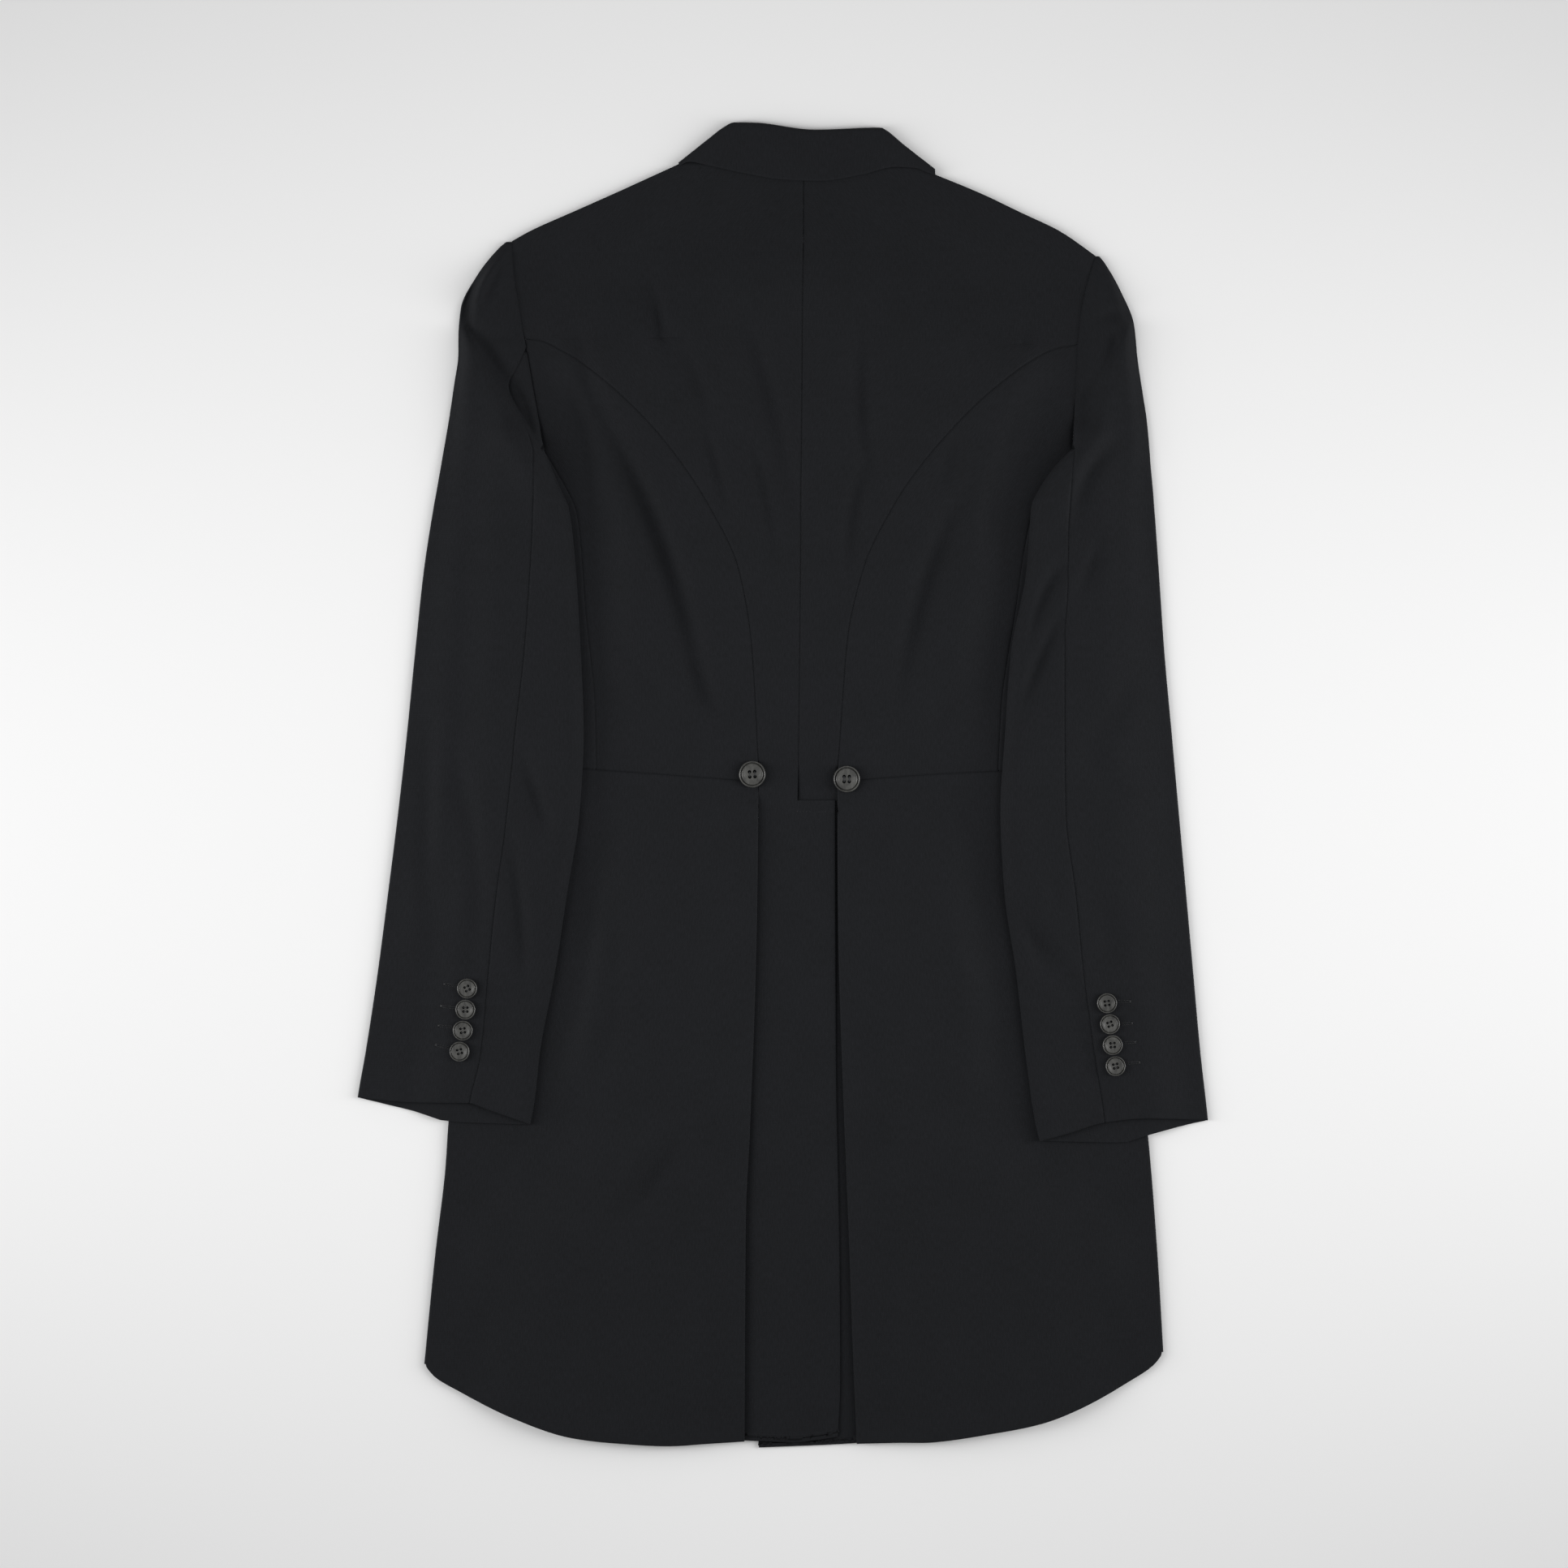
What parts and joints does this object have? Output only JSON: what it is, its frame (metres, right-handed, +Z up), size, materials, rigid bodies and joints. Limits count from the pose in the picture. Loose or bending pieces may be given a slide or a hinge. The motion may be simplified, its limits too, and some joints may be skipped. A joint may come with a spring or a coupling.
{
  "type": "morning coat",
  "caption": "Cutaway tailcoat laid flat on its front, back up, with a turned-down collar, princess seams, pleated skirts, a back vent, long sleeves, waist buttons and cuff buttons.",
  "frame": {"origin": "middle of the coat's outline, on the surface that it lies on", "axes": "+Z up out of the back of the coat, +Y towards the collar, +X to the right as seen from above"},
  "size_m": [0.6381, 0.9946, 0.0122],
  "materials": {
    "cloth": "matte worsted",
    "button": "satin horn"
  },
  "bodies": {
    "root": {"back_left": "cloth", "back_right": "cloth", "side_body_left": "cloth", "side_body_right": "cloth", "forepart_left": "cloth", "forepart_right": "cloth", "lapel_left": "cloth", "lapel_right": "cloth", "skirt_left": "cloth", "skirt_right": "cloth", "topsleeve_left": "cloth", "topsleeve_right": "cloth", "undersleeve_left": "cloth", "undersleeve_right": "cloth", "collar": "cloth", "waist_button_left": "button", "waist_button_right": "button", "cuff_button_left_1": "button", "cuff_button_left_2": "button", "cuff_button_left_3": "button", "cuff_button_left_4": "button", "cuff_button_right_1": "button", "cuff_button_right_2": "button", "cuff_button_right_3": "button", "cuff_button_right_4": "button"}
  },
  "joints": []
}
